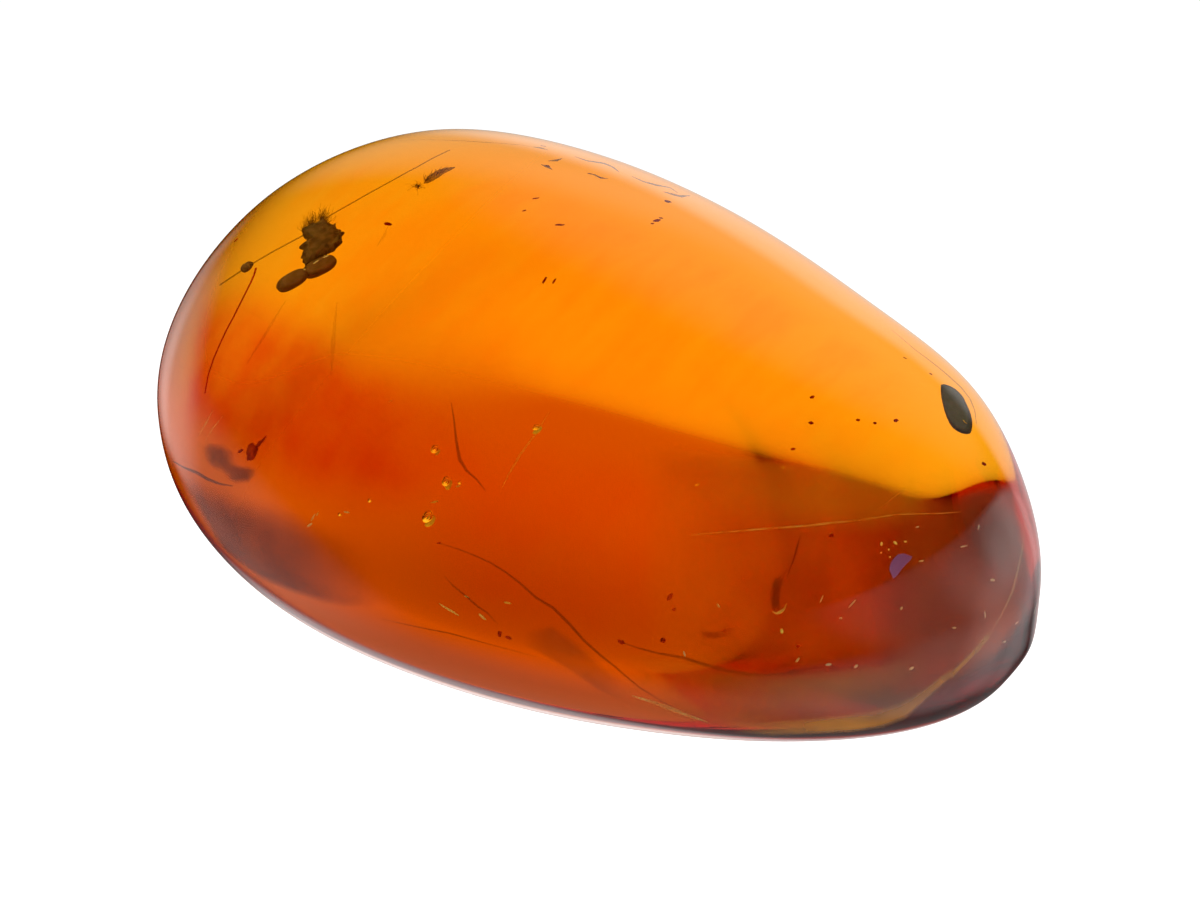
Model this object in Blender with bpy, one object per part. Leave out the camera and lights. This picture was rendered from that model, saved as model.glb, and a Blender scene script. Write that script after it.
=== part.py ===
"""A polished drop of amber, ground flat where it lies, with a small dead insect sealed in it.

Metres, +Z up. X runs along the drop, from its blunt end at -X to its narrow end at +X. The origin is on the
flat face that it lies on, below the middle of its length and width. The amber is one piece in life. It is
parted level here, so that what is sealed in it can lie in pockets.
"""

import math

import bmesh
import bpy
from mathutils import Matrix, Vector, noise

MM = 0.001

# The drop, before its base is ground flat. Places along it run from -1 at the blunt end to 1 at the narrow end.
LENGTH = 42.0 * MM
WIDTH = 28.1 * MM
DEPTH = 18.1 * MM
# Its long axis lies this high over the base, and dips towards the narrow end
AXIS_HEIGHT = 7.4 * MM
NOSE_DROP = 0.42 * MM
# The shares of width and depth that it loses by the narrow end, and gains by the blunt end
NARROWING = 0.24
THINNING = 0.155
# The share of depth that the top keeps after all towards the narrow end
NOSE_FULLNESS = 0.16
# How fast width and depth fall off at the ends: the less, the blunter
END_SLIMNESS = 0.96
TOP_SLIMNESS = 0.865
FOOT_SLIMNESS = 0.66
# Its sections are ellipses, nearly, but the foot is squarer, mostly on the far side, so that the base is wide there
SQUARENESS = 1.96
FOOT_SQUARENESS = 2.17
FAR_FOOT_SQUARENESS = 5.0
# The crest leans to the far side by this much at the narrow and the blunt end
NARROW_LEAN = 1.49 * MM
BLUNT_LEAN = 2.58 * MM
# Its middle line bows towards the near side, swings a little, and is shifted to centre the drop over the origin
BOW = 0.45 * MM
SWING = 0.49 * MM
SIDE_SHIFT = 0.53 * MM
# Two swellings of the far side: a shoulder near the narrow end and a heel near the blunt one
SHOULDER = 0.98 * MM
SHOULDER_AT = 0.62
HEEL = 1.04 * MM
HEEL_AT = -0.8
SWELL_SPREAD = 0.22
DROP_SEGMENTS = 52
DROP_RINGS = 36
SHARP_ANGLE = 18.0

# The flattened lumps: a low RIM_FULLNESS gives a broad flat top and a thin rim
OUTLINE_SEGMENTS = 40
OUTLINE_RINGS = 10
RIM_FULLNESS = 0.6
LUMP_SCALE = 3.0
ELLIPSOID_RINGS = 9

# The level that parts the amber, and the room left round what is sealed in it
PARTING = 8.7 * MM
PARTING_GAP = 0.3 * MM
CLEARANCE = 0.3 * MM
FIBRE_CLEARANCE = 0.25 * MM

# The insect: a ragged flattened body, outlined in millimetres round its middle, and two smooth lobes
BODY_AT = (-14.07 * MM, -0.15 * MM, 9.1 * MM)
BODY_OUTLINE = (
    (-0.90, 0.25), (-1.20, 0.50), (-1.10, 0.80), (-0.90, 1.10), (-0.90, 1.35), (-0.55, 1.20),
    (-0.20, 1.30), (0.00, 1.05), (0.42, 1.00), (0.50, 0.70), (0.75, 0.50), (0.75, 0.00),
    (0.55, -0.55), (0.60, -1.35), (0.30, -1.30), (-0.15, -0.80), (-0.30, -0.45), (-0.55, -0.35),
    (-0.50, 0.15),
)
BODY_HALF_THICKNESS = 0.36 * MM
BODY_ROOM = (1.05 * MM, 1.75 * MM, 0.55 * MM)
BODY_ROOM_TURN = 33.0
BODY_LUMPS = 0.35
LOBE_LEFT_AT = (-13.69 * MM, -2.26 * MM, 9.1 * MM)
LOBE_LEFT_HALF = (0.64 * MM, 0.43 * MM, 0.38 * MM)
LOBE_LEFT_TURN = 68.0
LOBE_RIGHT_AT = (-13.17 * MM, -1.15 * MM, 9.1 * MM)
LOBE_RIGHT_HALF = (0.68 * MM, 0.46 * MM, 0.38 * MM)
LOBE_RIGHT_TURN = 66.0

# The wing case: a pointed oval plate, outlined in millimetres round its middle
CASE_AT = (12.43 * MM, 6.69 * MM, 9.0 * MM)
CASE_OUTLINE = (
    (-1.25, 0.67), (-0.99, 0.95), (-0.56, 0.95), (-0.05, 0.63), (0.46, 0.22), (0.91, -0.29),
    (1.16, -0.73), (0.99, -0.96), (0.60, -0.99), (0.10, -0.71), (-0.46, -0.23), (-0.94, 0.27),
)
CASE_HALF_THICKNESS = 0.22 * MM
CASE_ROOM = (1.80 * MM, 0.85 * MM, 0.40 * MM)
CASE_ROOM_TURN = -34.0

# The fibre, its droplet and the hair: where each starts, passes and ends
FIBRE_PATH = ((-16.6, -3.1, 8.4), (-15.2, 0.4, 8.4), (-13.7, 7.2, 8.4))
FIBRE_RADIUS = 0.045 * MM
DROPLET_AT = (-16.13 * MM, -1.88 * MM, 8.4 * MM)
DROPLET_RADIUS = 0.26 * MM
HAIR_PATH = ((-15.66, -2.05, 8.75), (-14.74, -4.8, 8.75), (-13.5, -8.5, 8.75))
HAIR_RADIUS = 0.05 * MM
STEPS_ALONG = 22

# The splinter: a bar of bark with bristling ends
SPLINTER_FROM = (-13.04 * MM, 4.56 * MM, 8.75 * MM)
SPLINTER_TO = (-12.52 * MM, 6.23 * MM, 8.75 * MM)
SPLINTER_WIDTH = 0.36 * MM
SPLINTER_THICKNESS = 0.26 * MM
SPLINTER_SIDES = 10
SPLINTER_CUTS = 9
SPLINTER_TAPER = 0.45
SPLINTER_BREAKS = 0.5
SPLINTER_BREAK_SCALE = 6.0
SPLINTER_RAGGED_ENDS = 0.12
SPLINTER_ROOM = 1.25

AMBER = (0.90, 0.36, 0.03)
CHARRED = (0.035, 0.018, 0.010)
SLATE = (0.020, 0.026, 0.032)
DARK_RED = (0.10, 0.012, 0.006)
STRAW = (0.16, 0.06, 0.012)
BARK = (0.09, 0.045, 0.020)


def clear_scene():
    for thing in list(bpy.data.objects):
        bpy.data.objects.remove(thing, do_unlink=True)


def new_collection(name):
    made = bpy.data.collections.new(name)
    bpy.context.scene.collection.children.link(made)
    return made


def new_material(name, color, roughness, transmission=0.0):
    made = bpy.data.materials.new(name)
    made.use_nodes = True
    shader = made.node_tree.nodes["Principled BSDF"]
    shader.inputs["Base Color"].default_value = (*color, 1.0)
    shader.inputs["Roughness"].default_value = roughness
    shader.inputs["Metallic"].default_value = 0.0
    shader.inputs["IOR"].default_value = 1.54
    shader.inputs["Transmission Weight"].default_value = transmission
    return made


def object_from(bm, name, collection, material=None):
    """Closes bm into a mesh object of this name."""
    bmesh.ops.recalc_face_normals(bm, faces=bm.faces)
    mesh = bpy.data.meshes.new(name)
    bm.to_mesh(mesh)
    bm.free()
    mesh.shade_smooth()
    mesh.set_sharp_from_angle(angle=math.radians(SHARP_ANGLE))
    made = bpy.data.objects.new(name, mesh)
    collection.objects.link(made)
    if material:
        mesh.materials.append(material)
    return made


def make_cutter(cutter):
    cutter.hide_render = True
    cutter.display_type = "WIRE"
    return cutter


def add_boolean(target, operand, operation):
    change = target.modifiers.new(operation.title() + " " + operand.name, "BOOLEAN")
    change.operation = operation
    change.solver = "EXACT"
    change.object = operand


def signed_power(value, exponent):
    return math.copysign(abs(value) ** exponent, value)


def swell(along, at):
    """How strongly a local swelling shows at this place along the drop, 1 at its middle."""
    return math.exp(-(((along - at) / SWELL_SPREAD) ** 2))


def drop_point(ball):
    """Moves a point of the unit ball, poles on X, to its place on the drop."""
    along = ball.x
    rim = max(math.hypot(ball.y, ball.z), 1e-9)
    side, height = ball.y / rim, ball.z / rim
    half_depth = DEPTH / 2 * (1 - THINNING * along)
    if height < 0.0:
        squareness = FOOT_SQUARENESS + (FAR_FOOT_SQUARENESS - FOOT_SQUARENESS) * max(side, 0.0)
        half_depth *= rim**FOOT_SLIMNESS
    else:
        squareness = SQUARENESS
        half_depth += DEPTH / 2 * NOSE_FULLNESS * max(along, 0.0) ** 2
        half_depth *= rim**TOP_SLIMNESS
    across = signed_power(side, 2 / squareness)
    up = signed_power(height, 2 / squareness)
    half_width = rim**END_SLIMNESS * WIDTH / 2 * (1 - NARROWING * along)
    middle = SIDE_SHIFT + (SWING * along - BOW) * (1 - along * along)
    far_side = SHOULDER * swell(along, SHOULDER_AT) + HEEL * swell(along, HEEL_AT)
    lean = NARROW_LEAN * (0.5 + along / 2) ** 2 + BLUNT_LEAN * (0.5 - along / 2) ** 2
    return Vector((
        LENGTH / 2 * along,
        middle + half_width * across + far_side * max(across, 0.0) + lean * rim * max(up, 0.0) ** 2,
        AXIS_HEIGHT - NOSE_DROP * along + half_depth * up,
    ))


def cut_level(bm, height, keep_above):
    """Cuts a closed bm at this height, drops one side and closes the cut with one flat face."""
    geometry = list(bm.verts) + list(bm.edges) + list(bm.faces)
    cut = bmesh.ops.bisect_plane(
        bm,
        geom=geometry,
        plane_co=(0, 0, height),
        plane_no=(0, 0, 1),
        clear_inner=keep_above,
        clear_outer=not keep_above,
    )
    rim = [piece for piece in cut["geom_cut"] if isinstance(piece, bmesh.types.BMEdge)]
    bmesh.ops.contextual_create(bm, geom=rim)


def drop_between(name, low, high, collection, material):
    """The part of the drop between two heights. None for high keeps all of the top."""
    bm = bmesh.new()
    bmesh.ops.create_uvsphere(bm, u_segments=DROP_SEGMENTS, v_segments=DROP_RINGS, radius=1.0)
    poles_on_x = Matrix.Rotation(math.radians(90), 3, "Y")
    for vert in bm.verts:
        vert.co = drop_point(poles_on_x @ vert.co)
    cut_level(bm, low, keep_above=True)
    if high is not None:
        cut_level(bm, high, keep_above=False)
    return object_from(bm, name, collection, material)


def ellipsoid(name, at, half, turn, collection, material=None):
    """A closed ellipsoid with these half sizes, turned by this many degrees about Z."""
    bm = bmesh.new()
    bmesh.ops.create_uvsphere(
        bm, u_segments=2 * ELLIPSOID_RINGS, v_segments=ELLIPSOID_RINGS, radius=1.0
    )
    bmesh.ops.scale(bm, vec=half, verts=bm.verts)
    bmesh.ops.rotate(bm, matrix=Matrix.Rotation(math.radians(turn), 3, "Z"), verts=bm.verts)
    bmesh.ops.translate(bm, vec=at, verts=bm.verts)
    return object_from(bm, name, collection, material)


def pocket(name, at, half, turn, cutters):
    """A smooth pocket that leaves CLEARANCE or more round an ellipsoid of these half sizes."""
    roomy = [size + CLEARANCE for size in half]
    return make_cutter(ellipsoid(name, at, roomy, turn, cutters))


def path_point(path, t):
    """A point of the quadratic curve that starts, passes and ends at the three points of path."""
    start, passing, end = (Vector(point) * MM for point in path)
    handle = 2 * passing - (start + end) / 2
    return (1 - t) ** 2 * start + 2 * t * (1 - t) * handle + t * t * end


def tube(name, path, radius, spare, collection, material=None):
    """A closed tube along path, longer by spare at both ends."""
    points = [path_point(path, step / STEPS_ALONG) for step in range(STEPS_ALONG + 1)]
    points[0] += (points[0] - points[1]).normalized() * spare
    points[-1] += (points[-1] - points[-2]).normalized() * spare
    curve = bpy.data.curves.new(name, "CURVE")
    curve.dimensions = "3D"
    curve.bevel_depth = radius
    curve.bevel_resolution = 2
    curve.use_fill_caps = True
    spline = curve.splines.new("POLY")
    spline.points.add(len(points) - 1)
    for slot, point in zip(spline.points, points):
        slot.co = (*point, 1.0)
    guide = bpy.data.objects.new(name + "_guide", curve)
    collection.objects.link(guide)
    evaluated = guide.evaluated_get(bpy.context.evaluated_depsgraph_get())
    bm = bmesh.new()
    bm.from_mesh(bpy.data.meshes.new_from_object(evaluated))
    bmesh.ops.remove_doubles(bm, verts=bm.verts, dist=0.001 * MM)
    bpy.data.objects.remove(guide, do_unlink=True)
    return object_from(bm, name, collection, material)


def outline_reach(outline, heading):
    """How far the outline lies from its middle in this direction, in millimetres."""
    aim = Vector((math.cos(heading), math.sin(heading)))
    reach = 0.0
    for start, end in zip(outline, outline[1:] + outline[:1]):
        start, side = Vector(start), Vector(end) - Vector(start)
        spread = aim.cross(side)
        if abs(spread) < 1e-9:
            continue
        along_side = start.cross(aim) / spread
        if 0.0 <= along_side <= 1.0:
            reach = max(reach, start.cross(side) / spread)
    return reach


def flattened_lump(name, at, outline, half_thickness, lumps, collection, material):
    """A closed lump with this outline seen from above, thickest in its middle and thin at its rim."""
    bm = bmesh.new()
    bmesh.ops.create_uvsphere(
        bm, u_segments=OUTLINE_SEGMENTS, v_segments=OUTLINE_RINGS, radius=1.0
    )
    for vert in bm.verts:
        level = math.hypot(vert.co.x, vert.co.y)
        heading = math.atan2(vert.co.y, vert.co.x)
        reach = outline_reach(outline, heading) * MM * level**RIM_FULLNESS
        thickness = half_thickness * (1 + lumps * noise.noise(vert.co * LUMP_SCALE))
        vert.co = Vector((math.cos(heading) * reach, math.sin(heading) * reach, vert.co.z * thickness))
    bmesh.ops.translate(bm, vec=at, verts=bm.verts)
    return object_from(bm, name, collection, material)


def insect(parts, cutters, material):
    """The ragged body, joined to its two smooth lobes."""
    body = flattened_lump(
        "insect", BODY_AT, BODY_OUTLINE, BODY_HALF_THICKNESS, BODY_LUMPS, parts, material
    )
    for name, at, half, turn in (
        ("lobe_left", LOBE_LEFT_AT, LOBE_LEFT_HALF, LOBE_LEFT_TURN),
        ("lobe_right", LOBE_RIGHT_AT, LOBE_RIGHT_HALF, LOBE_RIGHT_TURN),
    ):
        lobe = make_cutter(ellipsoid(name, at, half, turn, cutters))
        add_boolean(body, lobe, "UNION")
    return body


def wing_case(parts, material):
    return flattened_lump("wing_case", CASE_AT, CASE_OUTLINE, CASE_HALF_THICKNESS, 0.0, parts, material)


def fibre(parts, cutters, material):
    """The thin fibre, with the droplet that hangs on it."""
    strand = tube("fibre", FIBRE_PATH, FIBRE_RADIUS, 0.0, parts, material)
    half = (DROPLET_RADIUS,) * 3
    droplet = make_cutter(ellipsoid("droplet", DROPLET_AT, half, 0.0, cutters))
    add_boolean(strand, droplet, "UNION")
    return strand


def splinter_lie():
    """The splinter's middle, length and turn about Z in radians."""
    start, end = Vector(SPLINTER_FROM), Vector(SPLINTER_TO)
    along = end - start
    return (start + end) / 2, along.length, math.atan2(along.y, along.x)


def splinter(parts, material):
    """A tapering bar with a stepped, broken outline."""
    middle, length, turn = splinter_lie()
    bm = bmesh.new()
    bmesh.ops.create_cone(bm, cap_ends=True, segments=SPLINTER_SIDES, radius1=0.5, radius2=0.5, depth=1.0)
    bmesh.ops.rotate(bm, matrix=Matrix.Rotation(math.radians(90), 3, "Y"), verts=bm.verts)
    long_edges = [edge for edge in bm.edges if abs(edge.verts[0].co.x - edge.verts[1].co.x) > 0.5]
    bmesh.ops.subdivide_edges(bm, edges=long_edges, cuts=SPLINTER_CUTS)
    for vert in bm.verts:
        taper = 1 - SPLINTER_TAPER * abs(2 * vert.co.x) ** 3
        broken = 1 + SPLINTER_BREAKS * noise.noise(vert.co * SPLINTER_BREAK_SCALE)
        ragged = 1 + SPLINTER_RAGGED_ENDS * noise.noise(vert.co * 1.5 * SPLINTER_BREAK_SCALE)
        vert.co.x *= length * ragged
        vert.co.y *= SPLINTER_WIDTH * taper * broken
        vert.co.z *= SPLINTER_THICKNESS * taper * broken
    bmesh.ops.rotate(bm, matrix=Matrix.Rotation(turn, 3, "Z"), verts=bm.verts)
    bmesh.ops.translate(bm, vec=middle, verts=bm.verts)
    return object_from(bm, "splinter", parts, material)


def pockets(cutters):
    """One pocket for each piece. Those of the fibre, hair and insect run into each other."""
    middle, length, turn = splinter_lie()
    splinter_half = [size / 2 * SPLINTER_ROOM for size in (length, SPLINTER_WIDTH, SPLINTER_THICKNESS)]
    return [
        pocket("body_pocket", BODY_AT, BODY_ROOM, BODY_ROOM_TURN, cutters),
        pocket("left_pocket", LOBE_LEFT_AT, LOBE_LEFT_HALF, LOBE_LEFT_TURN, cutters),
        pocket("right_pocket", LOBE_RIGHT_AT, LOBE_RIGHT_HALF, LOBE_RIGHT_TURN, cutters),
        pocket("case_pocket", CASE_AT, CASE_ROOM, CASE_ROOM_TURN, cutters),
        pocket("droplet_pocket", DROPLET_AT, (DROPLET_RADIUS,) * 3, 0.0, cutters),
        pocket("splinter_pocket", middle, splinter_half, math.degrees(turn), cutters),
        make_cutter(tube("fibre_pocket", FIBRE_PATH, FIBRE_RADIUS + FIBRE_CLEARANCE, CLEARANCE, cutters)),
        make_cutter(tube("hair_pocket", HAIR_PATH, HAIR_RADIUS + FIBRE_CLEARANCE, CLEARANCE, cutters)),
    ]


def main():
    clear_scene()
    parts = new_collection("insect_in_amber")
    cutters = new_collection("insect_in_amber_cutters")
    amber = new_material("amber", AMBER, 0.03, transmission=1.0)
    charred = new_material("insect", CHARRED, 0.7)
    slate = new_material("wing_case", SLATE, 0.35)
    dark_red = new_material("hair", DARK_RED, 0.5)
    straw = new_material("fibre", STRAW, 0.4)
    bark = new_material("splinter", BARK, 0.8)

    lower = drop_between("amber_lower", 0.0, PARTING - PARTING_GAP / 2, parts, amber)
    upper = drop_between("amber_upper", PARTING + PARTING_GAP / 2, None, parts, amber)
    for cutter in pockets(cutters):
        add_boolean(lower, cutter, "DIFFERENCE")
        add_boolean(upper, cutter, "DIFFERENCE")

    insect(parts, cutters, charred)
    wing_case(parts, slate)
    fibre(parts, cutters, straw)
    tube("hair", HAIR_PATH, HAIR_RADIUS, 0.0, parts, dark_red)
    splinter(parts, bark)


main()
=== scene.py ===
"""The looks of a polished drop of amber with a small insect and other things sealed in it.

Metres, +Z up. What is sealed in the amber is placed where the photo shows it: the sight line is bent at the
skin, as light is, and followed down to where the piece lies.
"""

import math
import random

import bpy
from mathutils import Matrix, Vector, noise
from mathutils.bvhtree import BVHTree
from mathutils.interpolate import poly_3d_calc


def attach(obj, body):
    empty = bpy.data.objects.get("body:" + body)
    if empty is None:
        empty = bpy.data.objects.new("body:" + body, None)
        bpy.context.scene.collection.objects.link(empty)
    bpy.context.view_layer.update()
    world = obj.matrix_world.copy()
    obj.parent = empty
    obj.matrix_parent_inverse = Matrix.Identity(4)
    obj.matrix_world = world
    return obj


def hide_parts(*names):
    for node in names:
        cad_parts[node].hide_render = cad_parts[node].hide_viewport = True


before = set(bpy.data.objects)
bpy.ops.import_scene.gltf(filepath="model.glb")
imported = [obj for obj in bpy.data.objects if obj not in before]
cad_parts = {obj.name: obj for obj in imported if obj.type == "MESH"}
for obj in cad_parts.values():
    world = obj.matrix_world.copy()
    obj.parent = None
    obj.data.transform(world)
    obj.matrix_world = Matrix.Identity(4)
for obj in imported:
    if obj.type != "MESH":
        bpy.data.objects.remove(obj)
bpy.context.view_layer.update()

MM = 0.001

# The camera stands where the photo's did. It comes first, because what lies in the amber is placed by the
# pixel of the 1200 x 900 photo in which it shows.
CAMERA_AZIMUTH = math.radians(36.78)
CAMERA_ELEVATION = math.radians(38.6)
CAMERA_DISTANCE = 150.0 * MM
CAMERA_AIM = Vector((0.0, 0.0, 8.0 * MM))
PHOTO_WIDTH = 1200
FOCAL_PIXELS = 3441.0
AXIS_PIXEL = (598.8, 436.5)
PHOTO_MIDDLE = (600.0, 450.0)
SENSOR_WIDTH = 36.0
CAMERA_SEES_FROM = 1.0 * MM
CAMERA_SEES_TO = 10.0

towards_camera = Vector((
    math.sin(CAMERA_AZIMUTH) * math.cos(CAMERA_ELEVATION),
    -math.cos(CAMERA_AZIMUTH) * math.cos(CAMERA_ELEVATION),
    math.sin(CAMERA_ELEVATION),
))
camera_right = Vector((math.cos(CAMERA_AZIMUTH), math.sin(CAMERA_AZIMUTH), 0.0))
camera_up = towards_camera.cross(camera_right)
camera_place = CAMERA_AIM + towards_camera * CAMERA_DISTANCE
camera_turn = towards_camera.to_track_quat("Z", "Y").to_euler()
bpy.ops.object.camera_add(location=camera_place, rotation=camera_turn)
camera = bpy.context.object
camera.name = "camera"
camera.data.sensor_width = SENSOR_WIDTH
camera.data.lens = FOCAL_PIXELS / PHOTO_WIDTH * SENSOR_WIDTH
camera.data.shift_x = (PHOTO_MIDDLE[0] - AXIS_PIXEL[0]) / PHOTO_WIDTH
camera.data.shift_y = (AXIS_PIXEL[1] - PHOTO_MIDDLE[1]) / PHOTO_WIDTH
camera.data.clip_start = CAMERA_SEES_FROM
camera.data.clip_end = CAMERA_SEES_TO
bpy.context.scene.camera = camera

# The amber: one drop of clear orange-red resin, turned and polished all over by hand, and ground flat where
# it lies. It is the CAD drop's own form, drawn fine and in one piece, so it stands for both halves of it.
LENGTH = 42.0 * MM
WIDTH = 28.1 * MM
DEPTH = 18.1 * MM
AXIS_HEIGHT = 7.4 * MM
NOSE_DROP = 0.42 * MM
NARROWING = 0.24
THINNING = 0.155
NOSE_FULLNESS = 0.16
END_SLIMNESS = 0.96
TOP_SLIMNESS = 0.865
FOOT_SLIMNESS = 0.66
SQUARENESS = 1.96
FOOT_SQUARENESS = 2.17
FAR_FOOT_SQUARENESS = 5.0
NARROW_LEAN = 1.49 * MM
BLUNT_LEAN = 2.58 * MM
BOW = 0.45 * MM
SWING = 0.49 * MM
SIDE_SHIFT = 0.53 * MM
SHOULDER = 0.98 * MM
SHOULDER_AT = 0.62
HEEL = 1.04 * MM
HEEL_AT = -0.8
SWELL_SPREAD = 0.22
DROP_SEGMENTS = 240
DROP_RINGS = 180
# The rim of the ground base is rubbed round, more at the blunt end
RIM_ROUND = 0.16 * MM
RIM_ROUND_BLUNT = 0.75 * MM
# Hand polishing leaves the skin gently uneven
WAVINESS = 0.003
WAVE_SCALE = 3.0
AMBER_IOR = 1.54
# The skin is polished, but the ground base is only fine ground, and coarser towards the blunt end
SKIN_ROUGHNESS = 0.0
GROUND_ROUGHNESS = 0.06
GROUND_ROUGHNESS_BLUNT = 0.38
COARSE_UP_TO = -17.0 * MM
FINE_FROM = -5.0 * MM
GROUND_LEVEL = 0.1 * MM
# At the blunt end the grinding reaches up round the foot
FOOT_GROUND = 1.6 * MM
FOOT_FROM = -17.0 * MM
FOOT_TO = -9.0 * MM
# How much of each colour a millimetre of amber takes out
ABSORPTION = (0.015, 0.078, 0.35)
CLEAR = (1.0, 1.0, 1.0)
POLE_GUARD = 1e-9


def deselect_all():
    bpy.ops.object.select_all(action="DESELECT")


def signed_power(value, exponent):
    return math.copysign(abs(value) ** exponent, value)


def swell(along, at):
    """How strongly a local swelling shows at this place along the drop, 1 at its middle."""
    return math.exp(-(((along - at) / SWELL_SPREAD) ** 2))


def rubbed_level(height, along):
    """The height with all below the ground base laid flat, and a rounded rim between."""
    rounding = RIM_ROUND + (RIM_ROUND_BLUNT - RIM_ROUND) * (1 - along) / 2
    if height > rounding:
        return height
    if height < -rounding:
        return 0.0
    return (height + rounding) ** 2 / (4 * rounding)


def drop_point(ball):
    """Moves a point of the unit ball, poles on X, to its place on the drop."""
    along = ball.x
    rim = max(math.hypot(ball.y, ball.z), POLE_GUARD)
    side, height = ball.y / rim, ball.z / rim
    half_depth = DEPTH / 2 * (1 - THINNING * along)
    if height < 0.0:
        squareness = FOOT_SQUARENESS + (FAR_FOOT_SQUARENESS - FOOT_SQUARENESS) * max(side, 0.0)
        half_depth *= rim**FOOT_SLIMNESS
    else:
        squareness = SQUARENESS
        half_depth += DEPTH / 2 * NOSE_FULLNESS * max(along, 0.0) ** 2
        half_depth *= rim**TOP_SLIMNESS
    across = signed_power(side, 2 / squareness)
    up = signed_power(height, 2 / squareness)
    half_width = rim**END_SLIMNESS * WIDTH / 2 * (1 - NARROWING * along)
    middle = SIDE_SHIFT + (SWING * along - BOW) * (1 - along * along)
    far_side = SHOULDER * swell(along, SHOULDER_AT) + HEEL * swell(along, HEEL_AT)
    lean = NARROW_LEAN * (0.5 + along / 2) ** 2 + BLUNT_LEAN * (0.5 - along / 2) ** 2
    uneven = 1 + WAVINESS * noise.noise(ball * WAVE_SCALE)
    reach = half_width * across + far_side * max(across, 0.0)
    return Vector((
        LENGTH / 2 * along,
        middle + uneven * reach + lean * rim * max(up, 0.0) ** 2,
        rubbed_level(AXIS_HEIGHT - NOSE_DROP * along + uneven * half_depth * up, along),
    ))


def blank_material(name):
    """A new material, with its nodes, its links and its shader."""
    made = bpy.data.materials.new(name)
    made.use_nodes = True
    nodes, links = made.node_tree.nodes, made.node_tree.links
    return made, nodes, links, nodes["Principled BSDF"]


def clear_material(name, tint, ior):
    """The same for a clear material that lets this tint through."""
    made, nodes, links, shader = blank_material(name)
    shader.inputs["Base Color"].default_value = (*tint, 1.0)
    shader.inputs["Transmission Weight"].default_value = 1.0
    shader.inputs["IOR"].default_value = ior
    return made, nodes, links, shader


def feed(links, value, socket):
    """Sets a socket to a number, or joins it to another socket."""
    if isinstance(value, (int, float)):
        socket.default_value = value
    else:
        links.new(value, socket)


def math_node(nodes, links, operation, first, second, clamp=False):
    """What a Math node makes of two numbers or sockets."""
    made = nodes.new("ShaderNodeMath")
    made.operation = operation
    made.use_clamp = clamp
    for socket, value in zip(made.inputs, (first, second)):
        feed(links, value, socket)
    return made.outputs["Value"]


def ranged(nodes, links, value, low, high, at_low, at_high, smooth=False):
    """Runs from at_low to at_high as the value goes from low to high."""
    made = nodes.new("ShaderNodeMapRange")
    made.interpolation_type = "SMOOTHSTEP" if smooth else "LINEAR"
    links.new(value, made.inputs["Value"])
    for name, number in zip(("From Min", "From Max", "To Min", "To Max"), (low, high, at_low, at_high)):
        feed(links, number, made.inputs[name])
    return made.outputs["Result"]


def amber_material():
    """Clear resin: all of its colour comes from the light that it takes out on the way through."""
    made, nodes, links, shader = clear_material("amber", CLEAR, AMBER_IOR)
    axes = nodes.new("ShaderNodeSeparateXYZ")
    links.new(nodes.new("ShaderNodeTexCoord").outputs["Object"], axes.inputs["Vector"])
    along, height = axes.outputs["X"], axes.outputs["Z"]
    ground = ranged(nodes, links, along, COARSE_UP_TO, FINE_FROM, GROUND_ROUGHNESS_BLUNT, GROUND_ROUGHNESS)
    foot = ranged(nodes, links, along, FOOT_FROM, FOOT_TO, FOOT_GROUND, 0.0)
    above_foot = math_node(nodes, links, "SUBTRACT", height, foot)
    skin = ranged(nodes, links, above_foot, GROUND_LEVEL / 2, GROUND_LEVEL, ground, SKIN_ROUGHNESS)
    links.new(skin, shader.inputs["Roughness"])
    taken = max(ABSORPTION) / MM
    volume = nodes.new("ShaderNodeVolumeAbsorption")
    volume.inputs["Density"].default_value = taken
    volume.inputs["Color"].default_value = (*(1 - share / MM / taken for share in ABSORPTION), 1.0)
    links.new(volume.outputs["Volume"], nodes["Material Output"].inputs["Volume"])
    return made


deselect_all()
bpy.ops.mesh.primitive_uv_sphere_add(
    segments=DROP_SEGMENTS, ring_count=DROP_RINGS, radius=1.0, rotation=(0.0, math.radians(90), 0.0)
)
amber = bpy.context.object
amber.name = "amber_drop"
bpy.ops.object.transform_apply(rotation=True)
for vert in amber.data.vertices:
    vert.co = drop_point(vert.co)
bpy.ops.object.shade_smooth()
amber.data.materials.append(amber_material())
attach(amber, "root")
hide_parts("amber_upper", "amber_lower")

# The insect: a small dead fly or beetle that has fallen to a charred, ragged lump, with two smooth rounded
# lobes at one end and a fringe of fine bristles at the other. It lies level in the resin.
BODY_LEVEL = 9.1 * MM
BODY_MIDDLE_PIXEL = (320, 243)
BODY_OUTLINE_PIXELS = (
    (303.8, 235.3), (301.4, 229.2), (308.6, 225.6), (318.3, 222.6), (322.0, 217.6), (326.8, 222.6),
    (332.3, 225.6), (335.3, 223.7), (336.4, 229.2), (343.4, 233.5), (341.0, 238.9), (342.1, 242.6),
    (333.5, 250.4), (319.5, 256.7), (313.5, 261.6), (305.0, 266.2), (301.4, 256.5), (303.8, 249.8),
    (299.7, 246.8), (304.4, 243.0), (311.0, 238.9),
)
BODY_HALF_THICKNESS = 0.36 * MM
BODY_LUMPS = 0.35
BODY_RAGGEDNESS = 0.09
RAGGED_SCALE = 9.0
BODY_SEGMENTS = 160
BODY_RINGS = 32
RIM_FULLNESS = 0.45
LUMP_SCALE = 3.0
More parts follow.
